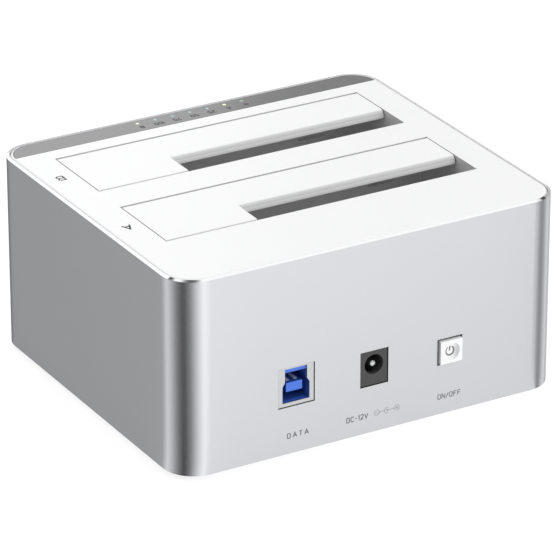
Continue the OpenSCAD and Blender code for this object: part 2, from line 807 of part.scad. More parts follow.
module sata_socket(bay) {
    y = sata_y(bay);
    color(black) difference() {
        union() {
            block(sata_x, sata_l, y - sata_w / 2, y + sata_w / 2, board_top, sata_top - sata_guide_h);
            for (side = [-1, 1])
                block(sata_x + side * (sata_l / 2 - sata_guide_in - sata_guide_w / 2), sata_guide_w,
                    y - sata_guide_d / 2, y + sata_guide_d / 2, board_top, sata_top);
        }
        sata_slot(data_from, data_l, y);
        sata_slot(power_from, power_l, y);
    }
}

module sata_contacts(bay) {
    blade_w = 0.6;
    blade_t = 0.35;
    blade_sink = 0.8;
    blade_top = sata_top - sata_guide_h - blade_sink;
    blade_foot = sata_top - sata_guide_h - sata_slot_deep;
    blade_y = sata_y(bay) - sata_slot_w / 2;
    row_starts = [[data_from, data_contacts], [power_from, power_contacts]];
    color(gold) for (row = row_starts, i = [0 : row[1] - 1])
        block(row[0] + key_l + (i + 0.5) * contact_pitch, blade_w,
            blade_y, blade_y + blade_t, blade_foot, blade_top);
}

// Mouth of the data socket, from the socket's lower edge up: wide below, with sloping shoulders
module usb_mouth(top) {
    polygon([
        [-usb_mouth_w / 2, usb_mouth_low],
        [usb_mouth_w / 2, usb_mouth_low],
        [usb_mouth_w / 2, usb_mouth_high - usb_mouth_slope],
        [usb_throat_w / 2, usb_mouth_high],
        [usb_throat_w / 2, top],
        [-usb_throat_w / 2, top],
        [-usb_throat_w / 2, usb_mouth_high],
        [-usb_mouth_w / 2, usb_mouth_high - usb_mouth_slope]
    ]);
}

// An XZ outline on the main board, drawn forwards from y
module from_rear(x, y, l) {
    translate([x, y, board_top]) rotate([90, 0, 0]) linear_extrude(height = l) children();
}

module usb_shell() {
    face = rear_y - port_sink;
    color(nickel) difference() {
        block(usb_x, usb_w, face - usb_l, face, board_top, board_top + usb_h);
        block(usb_x, usb_w - 2 * usb_sheet, face - usb_l + usb_sheet, face - usb_lip,
            board_top + usb_sheet, board_top + usb_h - usb_sheet);
        from_rear(usb_x, face + cut, usb_lip + 2 * cut) usb_mouth(usb_h - usb_sheet);
    }
}

module usb_insert() {
    face = rear_y - port_sink - usb_lip;
    back = rear_y - port_sink - usb_l + usb_sheet;
    tongue_l = usb_cavity_l - usb_tongue_sink + usb_lip;
    color(port_blue) {
        difference() {
            block(usb_x, usb_w - 2 * usb_sheet - 2 * usb_fit, back, face,
                board_top + usb_sheet, board_top + usb_h - usb_sheet - usb_fit);
            from_rear(usb_x, face + cut, usb_cavity_l + cut) usb_mouth(usb_h - usb_throat_drop);
        }
        block(usb_x, usb_tongue_w, face - usb_cavity_l - cut, face - usb_cavity_l + tongue_l,
            board_top + usb_tongue_low, board_top + usb_tongue_low + usb_tongue_h);
    }
}

module usb_contacts() {
    strip_w = 1;
    strip_h = 0.15;
    strip_sink = 1;
    strip_l = usb_cavity_l - usb_tongue_sink - strip_sink;
    back = rear_y - port_sink - usb_lip - usb_cavity_l;
    color(gold) for (sx = [-1, 1], z = [usb_tongue_low - strip_h, usb_tongue_low + usb_tongue_h])
        block(usb_x + sx * usb_tongue_w / 4, strip_w, back, back + strip_l,
            board_top + z, board_top + z + strip_h);
}

module dc_jack_body() {
    face = rear_y - port_sink;
    color(jack_grey) difference() {
        block(0, jack_w, face - jack_l, face, board_top, board_top + jack_h);
        translate([0, face + cut, jack_z]) rotate([90, 0, 0])
            cylinder(d = jack_bore_d, h = jack_bore_l + cut);
        block(0, jack_spring_w + 2 * usb_fit, face - jack_bore_l, face - jack_groove_in,
            jack_groove_z, jack_z);
    }
}

module dc_jack_pin() {
    root = rear_y - port_sink - jack_bore_l;
    pin_l = jack_bore_l - jack_pin_sink;
    color(steel) translate([0, root, jack_z]) rotate([-90, 0, 0]) rotate_extrude() {
        square([jack_pin_d / 2, pin_l - jack_pin_tip]);
        square([jack_pin_d / 2 - jack_pin_tip, pin_l]);
        intersection() {
            translate([jack_pin_d / 2 - jack_pin_tip, pin_l - jack_pin_tip]) circle(jack_pin_tip);
            square([jack_pin_d / 2, pin_l]);
        }
    }
}

// The leaf that presses on the plug, in its groove under the hole
module dc_jack_spring() {
    root = rear_y - port_sink - jack_bore_l;
    tip = rear_y - port_sink - jack_groove_in - jack_spring_gap;
    color(steel) block(0, jack_spring_w, root, tip, jack_groove_z, jack_groove_z + jack_spring_t);
}

module power_button() {
    face = rear_y + button_proud;
    dish_r = (pow(dish_d / 2, 2) + pow(dish_depth, 2)) / (2 * dish_depth);
    color(white) difference() {
        union() {
            block(button_x, button_w, plunger_face, face, button_z - button_h / 2, button_z + button_h / 2);
            block(button_x, button_w + 2 * flange_w, plunger_face, plunger_face + flange_t,
                button_z - button_h / 2, button_z + button_h / 2);
        }
        translate([button_x, face + dish_r - dish_depth, button_z]) sphere(dish_r);
    }
}

module power_plunger() {
    color(black) block(button_x, plunger_w, switch_face - plunger_in, plunger_face,
        button_z - plunger_w / 2, button_z + plunger_w / 2);
}

module power_switch() {
    hole = plunger_w + 2 * plunger_fit;
    color(black) difference() {
        block(button_x, switch_w, switch_face - switch_l, switch_face, board_top, button_z + switch_w / 2);
        block(button_x, hole, switch_face - plunger_in - button_travel - plunger_fit, switch_face + cut,
            button_z - hole / 2, button_z + hole / 2);
    }
}

module controller_chip() {
    chip_w = 10;
    chip_t = 1.2;
    chip_x = 16;
    color(black) block(chip_x, chip_w, bay_y(0) - chip_w, bay_y(0), board_top, board_top + chip_t);
}

module power_inductors() {
    coil_w = 6;
    coil_h = 3;
    coil_edge_r = 1.2;
    coil_in = 8;
    coil_step = 8;
    coil_space = 2;
    coil_rear = switch_face - switch_l - coil_space;
    color(jack_grey) for (i = [0, 1])
        translate([coil_in + i * coil_step - board_w / 2, coil_rear - coil_w / 2, board_top])
            linear_extrude(height = coil_h) rounded_rect(coil_w, coil_w, coil_edge_r);
}

module capacitors() {
    can_d = 6.3;
    can_h = 7.7;
    can_edge_r = 0.6;
    can_groove_h = 1.5;
    can_groove_r = 0.4;
    can_in = 6;
    can_step = 8;
    can_space = 2;
    can_y = rear_y - port_sink - usb_l - can_space - can_d / 2;
    color(steel) for (i = [0, 1])
        translate([board_w / 2 - can_in - i * can_step, can_y, board_top]) rotate_extrude() difference() {
            union() {
                square([can_d / 2, can_h - can_edge_r]);
                square([can_d / 2 - can_edge_r, can_h]);
                translate([can_d / 2 - can_edge_r, can_h - can_edge_r]) circle(can_edge_r);
            }
            translate([can_d / 2, can_groove_h]) circle(can_groove_r);
        }
}

module lamp_board() {
    color(board_green) difference() {
        block(0, lamp_board_w, lamp_board_front, lamp_board_front + lamp_board_d,
            lamp_board_under, lamp_board_top);
        for (sx = [-1, 1]) translate([sx * lamp_boss_x, lamp_boss_y, lamp_board_under - cut])
            cylinder(d = lamp_screw_d + 2 * screw_fit, h = lamp_board_t + 2 * cut);
    }
}

module lamp_leds() {
    led_w = 1.6;
    led_d = 0.9;
    color(white) for (i = [0 : 6])
        block(lamp_x(i), led_w, lamp_y - led_d / 2, lamp_y + led_d / 2,
            lamp_board_top, lamp_board_top + led_h);
}

// One light pipe, from its diode up to the face of the strip
module lamp(i, shade) {
    foot = lamp_board_top + led_h;
    color(shade) translate([lamp_x(i), lamp_y, 0]) {
        translate([0, 0, foot]) cylinder(d = lamp_d, h = lid_top - foot);
        translate([0, 0, lid_under - collar_t]) cylinder(d = collar_d, h = collar_t);
    }
}

module lamp_cable() {
    color(white) block(cable_x, cable_w, lamp_boss_y - cable_t / 2, lamp_boss_y + cable_t / 2,
        board_top + cable_socket_h - cable_in, lamp_board_under - cable_socket_h + cable_in);
}

module cable_sockets() {
    color(black) for (z = [board_top, lamp_board_under - cable_socket_h]) difference() {
        block(cable_x, cable_socket_w, lamp_boss_y - cable_socket_d / 2, lamp_boss_y + cable_socket_d / 2,
            z, z + cable_socket_h);
        block(cable_x, cable_w + 2 * screw_fit, lamp_boss_y - cable_t / 2 - screw_fit,
            lamp_boss_y + cable_t / 2 + screw_fit,
            board_top + cable_socket_h - cable_in, lamp_board_under - cable_socket_h + cable_in);
    }
}

sleeve();
top_panel();
indicator_strip();
drive_cage();
base_plate();
foot(-1, -1);  // foot_front_left
foot(1, -1);  // foot_front_right
foot(-1, 1);  // foot_rear_left
foot(1, 1);  // foot_rear_right
base_screws();
cage_screws();
board_screws();
lamp_board_screws();
bay_door(0);  // bay_door_a
bay_door(1);  // bay_door_b
door_pin(0);  // door_pin_a
door_pin(1);  // door_pin_b
door_spring(0);  // door_spring_a
door_spring(1);  // door_spring_b
main_board();
sata_socket(0);  // sata_socket_a
sata_socket(1);  // sata_socket_b
sata_contacts(0);  // sata_contacts_a
sata_contacts(1);  // sata_contacts_b
usb_shell();
usb_insert();
usb_contacts();
dc_jack_body();
dc_jack_pin();
dc_jack_spring();
power_button();
power_plunger();
power_switch();
controller_chip();
power_inductors();
capacitors();
lamp_board();
lamp_leds();
lamp_cable();
cable_sockets();
lamp(0, green);  // lamp_power
lamp(1, amber);  // lamp_bay_a
lamp(2, cyan);  // lamp_copy_25
lamp(3, cyan);  // lamp_copy_50
lamp(4, cyan);  // lamp_copy_75
lamp(5, cyan);  // lamp_copy_100
lamp(6, amber);  // lamp_bay_b
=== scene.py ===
import math

import bpy
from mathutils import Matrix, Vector


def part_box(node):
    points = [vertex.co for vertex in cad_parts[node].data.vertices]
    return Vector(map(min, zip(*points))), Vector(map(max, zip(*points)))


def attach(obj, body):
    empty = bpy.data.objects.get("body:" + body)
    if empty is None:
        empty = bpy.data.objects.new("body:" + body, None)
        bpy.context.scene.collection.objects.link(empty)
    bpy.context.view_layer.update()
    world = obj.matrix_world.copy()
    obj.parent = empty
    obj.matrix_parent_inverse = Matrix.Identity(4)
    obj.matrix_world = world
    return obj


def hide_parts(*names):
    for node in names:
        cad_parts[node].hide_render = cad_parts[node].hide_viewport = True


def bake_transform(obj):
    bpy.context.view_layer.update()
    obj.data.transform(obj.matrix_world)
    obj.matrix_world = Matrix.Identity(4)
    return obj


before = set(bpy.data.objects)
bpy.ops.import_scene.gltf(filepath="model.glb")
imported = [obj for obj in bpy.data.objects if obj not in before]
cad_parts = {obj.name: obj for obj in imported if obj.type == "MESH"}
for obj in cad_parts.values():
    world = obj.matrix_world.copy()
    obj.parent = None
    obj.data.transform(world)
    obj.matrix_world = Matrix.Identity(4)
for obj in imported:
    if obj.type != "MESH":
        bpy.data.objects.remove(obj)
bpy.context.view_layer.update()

MM = 0.001

# Camera, at the photo's viewing angle
CAMERA_PLACE = Vector((0.58415, 1.01170, 0.56572))
CAMERA_AIM = Vector((0.00075, 0.00244, 0.03000))
LENS_MM = 280.2
SENSOR_MM = 36.0

# Faces that the printed marks lie on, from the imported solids
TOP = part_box("top_panel")[1].z
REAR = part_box("sleeve")[1].y
INK_LIFT = 0.02 * MM

# Printed marks: place, cap height and stroke
BAY_MARKS = {"A": (56.8, 13.8, 0.56), "B": (57.15, -27.0, 0.5)}
BAY_MARK_H = 2.9
REAR_MARKS = {"DATA": (25.4, 7.2), "DC-12V": (5.6, 7.2), "ON/OFF": (-25.6, 7.1)}
REAR_MARK_SPACES = {"DATA": 0.6, "DC-12V": 0.34, "ON/OFF": 0.34}
REAR_MARK_H = 1.45
REAR_MARK_STROKE = 0.28
POLARITY_PLACE = (-4.4, 7.3)
POLARITY_R = 0.85
POLARITY_SPAN = 3.4
POLARITY_STROKE = 0.23
POLARITY_SIGN = 0.45
POLARITY_OPEN_DEG = 45.0
LAMP_TEXTS = {
    "lamp_bay_a": "A",
    "lamp_copy_25": "25",
    "lamp_copy_50": "50",
    "lamp_copy_75": "75",
    "lamp_copy_100": "100",
    "lamp_bay_b": "B",
}
LAMP_TEXT_BEHIND = 3.1
LAMP_TEXT_H = 1.5
LAMP_TEXT_STROKE = 0.34
LAMP_MARK_R = 0.6

# The mark in the button's dish, on the ball that the dish is cut with
DISH_D = 5.6
DISH_DEPTH = 0.9
MARK_R = 1.35
MARK_ASIDE = -0.2
MARK_STROKE = 0.44
MARK_OPEN_DEG = 28
MARK_BAR = (-0.05, 0.55, 1.15)
MARK_STEPS = 40

# Door springs, wound as in the solids
SPRING_SIDE_X = 30.2
COIL_LENGTH = 4.75
COIL_R = 1.5
COIL_TURNS = 5
WIRE_D = 0.5
DOOR_LEG = 9.0
LID_LEG = 5.0
LEG_RISE = 0.35
DOOR_EDGE = 5.15
HINGE_Y = {"a": -4.3, "b": -45.05}
HINGE_Z = 58.4
COIL_STEPS = 24
WIRE_SIDES = 10


def make_camera():
    data = bpy.data.cameras.new("camera")
    data.lens = LENS_MM
    data.sensor_width = SENSOR_MM
    camera = bpy.data.objects.new("camera", data)
    camera.location = CAMERA_PLACE
    camera.rotation_mode = "QUATERNION"
    camera.rotation_quaternion = (CAMERA_AIM - CAMERA_PLACE).to_track_quat("-Z", "Y")
    bpy.context.scene.collection.objects.link(camera)
    bpy.context.scene.camera = camera


make_camera()
bpy.context.scene.view_settings.view_transform = "Standard"


class Nodes:
    """A node tree with short calls to add nodes and link sockets."""

    def __init__(self, tree):
        self.tree = tree
        tree.nodes.clear()

    def add(self, kind, inputs=None, **settings):
        node = self.tree.nodes.new(kind)
        for key, value in settings.items():
            setattr(node, key, value)
        for key, value in (inputs or {}).items():
            if isinstance(value, bpy.types.NodeSocket):
                self.tree.links.new(value, node.inputs[key])
            else:
                node.inputs[key].default_value = value
        return node

    def math(self, operation, first, second=0.0, clamp=False):
        inputs = {0: first, 1: second}
        return self.add("ShaderNodeMath", inputs, operation=operation, use_clamp=clamp).outputs[0]

    def product(self, first, *others):
        for other in others:
            first = self.math("MULTIPLY", first, other)
        return first

    def dot(self, first, second):
        inputs = {0: first, 1: second}
        return self.add("ShaderNodeVectorMath", inputs, operation="DOT_PRODUCT").outputs["Value"]

    def parts(self, vector):
        return self.add("ShaderNodeSeparateXYZ", {"Vector": vector}).outputs

    def mix(self, factor, first, second):
        inputs = {"Factor": factor, 2: first, 3: second}
        return self.add("ShaderNodeMix", inputs, data_type="FLOAT").outputs[0]

    def mix_colour(self, factor, first, second):
        inputs = {"Factor": factor, 6: first, 7: second}
        return self.add("ShaderNodeMix", inputs, data_type="RGBA").outputs[2]

    def ramp(self, factor, stops):
        node = self.add("ShaderNodeValToRGB", {"Fac": factor})
        elements = node.color_ramp.elements
        while len(elements) < len(stops):
            elements.new(0.5)
        for element, (place, level) in zip(elements, stops):
            element.position = place
            element.color = (level, level, level, 1.0)
        return node.outputs["Color"]

    def noise(self, scale, detail=2.0):
        place = self.add("ShaderNodeTexCoord").outputs["Object"]
        inputs = {"Vector": place, "Scale": scale, "Detail": detail}
        return self.add("ShaderNodeTexNoise", inputs).outputs["Fac"]

    def relief(self, height, strength, depth):
        inputs = {"Strength": strength, "Distance": depth, "Height": height}
        return self.add("ShaderNodeBump", inputs).outputs["Normal"]

    def diffuse(self, grey):
        return self.add("ShaderNodeBsdfDiffuse", {"Color": (grey, grey, grey, 1.0)}).outputs[0]

    def emission(self, strength):
        return self.add("ShaderNodeEmission", {"Color": WHITE, "Strength": strength}).outputs[0]

    def both(self, first, second):
        return self.add("ShaderNodeAddShader", {0: first, 1: second}).outputs[0]

    def either(self, factor, first, second):
        return self.add("ShaderNodeMixShader", {0: factor, 1: first, 2: second}).outputs[0]


WHITE = (1.0, 1.0, 1.0, 1.0)

# Noise in the finishes: scale per metre and detail
PLASTIC_CLOUD = (90.0, 3.0)
PLATING_CLOUD = (260.0, 4.0)
PLATING_GRAIN = (1500.0, 3.0)
ALUMINIUM_CLOUD = (40.0, 2.0)
ALUMINIUM_GRAIN = (7000.0, 2.0)
LAMP_CLOUD = (900.0, 2.0)

# Plastics and plating: how far roughness and colour vary, and the relief of the grain
PLASTIC_SPREAD = 0.04
PLASTIC_RELIEF = 0.3
PLATING_SPREAD = 0.06
PLATING_VARY = 0.04
PLATING_RELIEF = 0.15
PLATING_DEPTH = 0.01 * MM

# Aluminium: the blasted skin, the polished bevel by its lean, and the inner face that shows below the top,
# with painted light where it leans towards +X
SKIN_DARK = (0.75, 0.757, 0.785, 1.0)
SKIN_PALE = (0.77, 0.777, 0.805, 1.0)
SKIN_ROUGHNESS = (0.24, 0.29)
SKIN_RELIEF = 0.1
SKIN_DEPTH = 0.008 * MM
BEVEL_LEAN = 0.92
BEVEL_LEAN_SPREAD = 0.06
BEVEL_COLOUR = (0.96, 0.965, 0.97, 1.0)
BEVEL_ROUGHNESS = 0.1
INNER_DEPTH = 4.0 * MM
INNER_PAINTED_LIGHT = (0.99, 0.98, 0.96, 1.0)

# Circuit boards: the mask, and the tracks that run in rings about the cells of a pattern
MASK_GREEN = (0.02, 0.15, 0.07, 1.0)
MASK_ROUGHNESS = 0.4
TRACK_GREEN = (0.05, 0.24, 0.12, 1.0)
TRACK_ROUGHNESS = 0.3
TRACK_SCALE = 260.0
TRACK_RINGS = 6.0
TRACK_GAP = 0.6
TRACK_RELIEF = 0.4
TRACK_DEPTH = 0.03 * MM

# Light pipes: the darkest share of the tint, in the plastic and in its glow
LAMP_TINT = 0.92
LAMP_GLOW_TINT = 0.9
LAMP_ROUGHNESS = 0.25

# Painted crease tone, shade in gaps and light in the cage's pockets: share of open space about a point at
# which it is strongest, and at which there is none
CREASE_STOPS = [(0.3, 0.0), (0.75, 1.0)]
POCKET_STOPS = [(0.36, 0.0), (0.48, 1.0)]
CREASE_SAMPLES = 8

# Painted shade by a face's lean, with the share of the plain tone: up a door's edge, across the button's
# dish, at a slot's end
EDGE_STOPS = [(0.0, 1.0), (0.22, 1.0), (0.42, 0.0), (0.82, 0.1), (0.94, 1.0)]
DISH_STOPS = [(0.0, 1.0), (0.12, 1.0), (0.4, 0.0)]
END_STOPS = [(0.0, 1.0), (0.5, 1.0), (0.9, 0.0)]


def material(name):
    made = bpy.data.materials.new(name)
    made.use_nodes = True
    return made, Nodes(made.node_tree)


def shade(colour, factor):
    return tuple(min(1.0, c * factor) for c in colour) + (1.0,)


def varied(nodes, spots, colour, vary):
    """A colour that varies a little from spot to spot."""
    return nodes.mix_colour(spots, shade(colour, 1.0 - vary), shade(colour, 1.0 + vary))


def finish_material(nodes, inputs):
    surface = nodes.add("ShaderNodeBsdfPrincipled", inputs).outputs["BSDF"]
    nodes.add("ShaderNodeOutputMaterial", {"Surface": surface})


def painted_crease_tone(nodes, tone, crease_paint_tone, reach, steep, stops):
    """Painted shade in creases of steep faces, where other faces lie within the reach; a crease tone paler
    than the tone paints light there instead.
    """
    inputs = {"Distance": reach * MM}
    open_share = nodes.add("ShaderNodeAmbientOcclusion", inputs, samples=CREASE_SAMPLES).outputs["AO"]
    lean = nodes.parts(nodes.add("ShaderNodeNewGeometry").outputs["True Normal"])
    level = nodes.math("GREATER_THAN", lean["Z"], steep)
    plain = nodes.math("MAXIMUM", nodes.ramp(open_share, stops), level)
    return nodes.mix_colour(plain, crease_paint_tone, tone)


def painted_lean_shade(nodes, tone, lean_shade_tone, axis, stops):
    """Painted shade that deepens by how far a face of the piece leans along an axis."""
    lean = nodes.parts(nodes.add("ShaderNodeTexCoord").outputs["Normal"])
    return nodes.mix_colour(nodes.ramp(lean[axis], stops), lean_shade_tone, tone)


def moulded(
    name, colour, roughness, grain=3000.0, depth=0.01, vary=0.02,
    reach=0.0, deep=0.3, steep=1.0, crease=CREASE_STOPS, axis="", dark=0.7, stops=(), **extra
):
    """Plastic or rubber with a fine grain, with painted shade by a face's lean and in creases where asked;
    the grain's depth and the creases' reach are in millimetres.
    """
    made, nodes = material(name)
    cloud = nodes.noise(*PLASTIC_CLOUD)
    tone = varied(nodes, cloud, colour, vary)
    # Painted shade by the face's lean along the axis
    if axis:
        tone = painted_lean_shade(nodes, tone, shade(colour, dark), axis, stops)
    # Painted crease tone: darker in gaps, paler where deep is above one
    if reach:
        tone = painted_crease_tone(nodes, tone, shade(colour, deep), reach, steep, crease)
    inputs = {
        "Base Color": tone,
        "Roughness": nodes.mix(cloud, roughness - PLASTIC_SPREAD, roughness + PLASTIC_SPREAD),
        "Normal": nodes.relief(nodes.noise(grain), PLASTIC_RELIEF, depth * MM),
    }
    inputs.update(extra)
    finish_material(nodes, inputs)
    return made


def plated(name, colour, roughness, metallic=1.0):
    """Bare or plated metal, with faint scratches and cloudy wear."""
    made, nodes = material(name)
    scratches = nodes.noise(*PLATING_GRAIN)
    inputs = {
        "Base Color": varied(nodes, nodes.noise(*PLATING_CLOUD), colour, PLATING_VARY),
        "Metallic": metallic,
        "Roughness": nodes.mix(scratches, roughness - PLATING_SPREAD, roughness + PLATING_SPREAD),
        "Normal": nodes.relief(scratches, PLATING_RELIEF, PLATING_DEPTH),
    }
    finish_material(nodes, inputs)
    return made


def anodised(name):
    """Blasted aluminium: polished on the bevel, and matte on the inner face, with painted light on its
    side that leans towards +X.
    """
    made, nodes = material(name)
    face = nodes.add("ShaderNodeNewGeometry").outputs
    lean = nodes.parts(face["True Normal"])
    inward = nodes.math("LESS_THAN", nodes.dot(face["True Normal"], face["Position"]), 0.0)
    high = nodes.math("GREATER_THAN", nodes.parts(face["Position"])["Z"], TOP - INNER_DEPTH)
    inner = nodes.product(inward, high)
    # Painted light: the inner face turns pale where it leans towards +X
    painted_light = nodes.math("MULTIPLY", inner, lean["X"], clamp=True)
    compared = {0: lean["Z"], 1: BEVEL_LEAN, 2: BEVEL_LEAN_SPREAD}
    polished = nodes.add("ShaderNodeMath", compared, operation="COMPARE").outputs[0]
    grain = nodes.noise(*ALUMINIUM_GRAIN)
    skin = nodes.mix_colour(nodes.noise(*ALUMINIUM_CLOUD), SKIN_DARK, SKIN_PALE)
    skin = nodes.mix_colour(painted_light, skin, INNER_PAINTED_LIGHT)
    inputs = {
        "Base Color": nodes.mix_colour(polished, skin, BEVEL_COLOUR),
        "Metallic": nodes.math("SUBTRACT", 1.0, inner),
        "Roughness": nodes.mix(polished, nodes.mix(grain, *SKIN_ROUGHNESS), BEVEL_ROUGHNESS),
        "Normal": nodes.relief(grain, SKIN_RELIEF, SKIN_DEPTH),
    }
    finish_material(nodes, inputs)
    return made


def circuit_board(name):
    """Green solder mask with a faint relief of tracks under it."""
    made, nodes = material(name)
    place = nodes.add("ShaderNodeTexCoord").outputs["Object"]
    pattern = {"Vector": place, "Scale": TRACK_SCALE}
    cells = nodes.add("ShaderNodeTexVoronoi", pattern, distance="MANHATTAN").outputs["Distance"]
    rings = nodes.math("FRACT", nodes.product(cells, TRACK_RINGS))
    tracks = nodes.math("GREATER_THAN", rings, TRACK_GAP)
    inputs = {
        "Base Color": nodes.mix_colour(tracks, MASK_GREEN, TRACK_GREEN),
        "Roughness": nodes.mix(tracks, MASK_ROUGHNESS, TRACK_ROUGHNESS),
        "Normal": nodes.relief(tracks, TRACK_RELIEF, TRACK_DEPTH),
    }
    finish_material(nodes, inputs)
    return made


def glowing(name, colour, glow):
    """A tinted light pipe, lit from below."""
    made, nodes = material(name)
    cloud = nodes.noise(*LAMP_CLOUD)
    inputs = {
        "Base Color": nodes.mix_colour(cloud, shade(colour, LAMP_TINT), shade(colour, 1.0)),
        "Roughness": LAMP_ROUGHNESS,
        "Emission Color": nodes.mix_colour(cloud, shade(colour, LAMP_GLOW_TINT), shade(colour, 1.0)),
        "Emission Strength": glow,
    }
    finish_material(nodes, inputs)
    return made


ALUMINIUM = anodised("anodised_aluminium")
# Painted shade: darker in the gaps between steep faces, and on faces that lean towards +X, such as the
# slots' end walls
PANEL_WHITE = moulded(
    "panel_white", (0.935, 0.937, 0.94), 0.34, depth=0.002, vary=0.006,
    reach=1.6, deep=0.4, steep=0.35, axis="X", dark=0.75, stops=END_STOPS,
)
# Painted shade: a darker band up the doors' rounded edges, and a little in the gaps
DOOR_WHITE = moulded(
    "door_white", (0.935, 0.937, 0.94), 0.34, depth=0.002, vary=0.006,
    reach=1.6, deep=0.9, steep=0.35, axis="Z", dark=0.71, stops=EDGE_STOPS,
)
BASE_WHITE = moulded("base_white", (0.82, 0.82, 0.825), 0.5, grain=1800.0, depth=0.02)
# Painted shade: darker in the gap about the button, and on the dish's slope that leans towards +X
BUTTON_WHITE = moulded(
    "button_white", (0.94, 0.94, 0.945), 0.36, depth=0.004, vary=0.006,
    reach=1.2, deep=0.55, axis="X", dark=0.72, stops=DISH_STOPS,
)
STRIP_GREY = moulded("strip_grey", (0.28, 0.28, 0.285), 0.24, depth=0.001, Metallic=0.7)
# Painted light: paler deep in the arm pockets, where little light gets in
CAGE_GREY = moulded(
    "cage_grey", (0.75, 0.75, 0.75), 0.5, grain=1500.0, depth=0.02,
    reach=6.0, deep=1.33, crease=POCKET_STOPS,
)
RUBBER = moulded("rubber_black", (0.035, 0.035, 0.036), 0.75, grain=1200.0, depth=0.05, vary=0.15)
SOCKET_BLACK = moulded("socket_black", (0.03, 0.03, 0.032), 0.45, grain=1500.0, depth=0.02, vary=0.1)
JACK_GREY = moulded("jack_grey", (0.06, 0.06, 0.062), 0.4, grain=1500.0, depth=0.02, vary=0.1)
# Painted shade: darker deep in the socket's hollow
PORT_BLUE = moulded(
    "port_blue", (0.075, 0.23, 0.95), 0.35, grain=2000.0, vary=0.05, reach=9.0, deep=0.42
)
CABLE_WHITE = moulded("cable_white", (0.82, 0.82, 0.82), 0.5)
STEEL = plated("zinc_steel", (0.62, 0.62, 0.63), 0.3)
NICKEL = plated("nickel", (0.7, 0.71, 0.715), 0.28)
GOLD = plated("contact_gold", (0.86, 0.62, 0.26), 0.22)
CONTACT = plated("contact_plate", (0.95, 0.94, 0.92), 0.4, metallic=0.1)
BOARD = circuit_board("board_green")
LAMP_GREEN = glowing("lamp_green", (0.36, 0.5, 0.4), 0.25)
LAMP_AMBER = glowing("lamp_amber", (0.85, 0.8, 0.52), 0.4)
LAMP_BLUE = glowing("lamp_blue", (0.36, 0.5, 0.51), 0.25)
INK = moulded("ink_dark", (0.08, 0.08, 0.085), 0.6, grain=5000.0, depth=0.002, vary=0.08)
INK_PALE = moulded("ink_pale", (0.48, 0.48, 0.49), 0.6, grain=5000.0, depth=0.002, vary=0.05)
INK_GREY = moulded("ink_grey", (0.19, 0.195, 0.195), 0.6, grain=5000.0, depth=0.002, vary=0.05)

FINISHES = {
    "sleeve": ALUMINIUM,
    "top_panel": PANEL_WHITE,
    "bay_door_a": DOOR_WHITE,
    "bay_door_b": DOOR_WHITE,
    "indicator_strip": STRIP_GREY,
    "drive_cage": CAGE_GREY,
    "base_plate": BASE_WHITE,
    "foot_front_left": RUBBER,
    "foot_front_right": RUBBER,
    "foot_rear_left": RUBBER,
    "foot_rear_right": RUBBER,
    "base_screws": STEEL,
    "cage_screws": STEEL,
    "board_screws": STEEL,
    "lamp_board_screws": STEEL,
    "door_pin_a": STEEL,
    "door_pin_b": STEEL,
    "main_board": BOARD,
    "lamp_board": BOARD,
    "sata_socket_a": SOCKET_BLACK,
    "sata_socket_b": SOCKET_BLACK,
    "sata_contacts_a": GOLD,
    "sata_contacts_b": GOLD,
    "usb_shell": NICKEL,
    "usb_insert": PORT_BLUE,
    "usb_contacts": CONTACT,
    "dc_jack_body": JACK_GREY,
    "dc_jack_pin": NICKEL,
    "dc_jack_spring": NICKEL,
    "power_button": BUTTON_WHITE,
    "power_plunger": SOCKET_BLACK,
    "power_switch": SOCKET_BLACK,
    "controller_chip": SOCKET_BLACK,
    "power_inductors": JACK_GREY,
    "capacitors": STEEL,
    "lamp_leds": CABLE_WHITE,
    "lamp_cable": CABLE_WHITE,
    "cable_sockets": SOCKET_BLACK,
    "lamp_power": LAMP_GREEN,
    "lamp_bay_a": LAMP_AMBER,
    "lamp_copy_25": LAMP_BLUE,
    "lamp_copy_50": LAMP_BLUE,
    "lamp_copy_75": LAMP_BLUE,
    "lamp_copy_100": LAMP_BLUE,
    "lamp_bay_b": LAMP_AMBER,
}


def dress(node, finish):
    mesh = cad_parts[node].data
    mesh.materials.clear()
    mesh.materials.append(finish)


for node_name, node_finish in FINISHES.items():
    dress(node_name, node_finish)


def piece(name, points, faces, finish, body, smooth=False):
    mesh = bpy.data.meshes.new(name)
    mesh.from_pydata([tuple(p) for p in points], [], faces)
    mesh.validate()
    mesh.materials.append(finish)
    mesh.polygons.foreach_set("use_smooth", [smooth] * len(mesh.polygons))
    made = bpy.data.objects.new(name, mesh)
    bpy.context.scene.collection.objects.link(made)
    if body:
        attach(made, body)
    return made


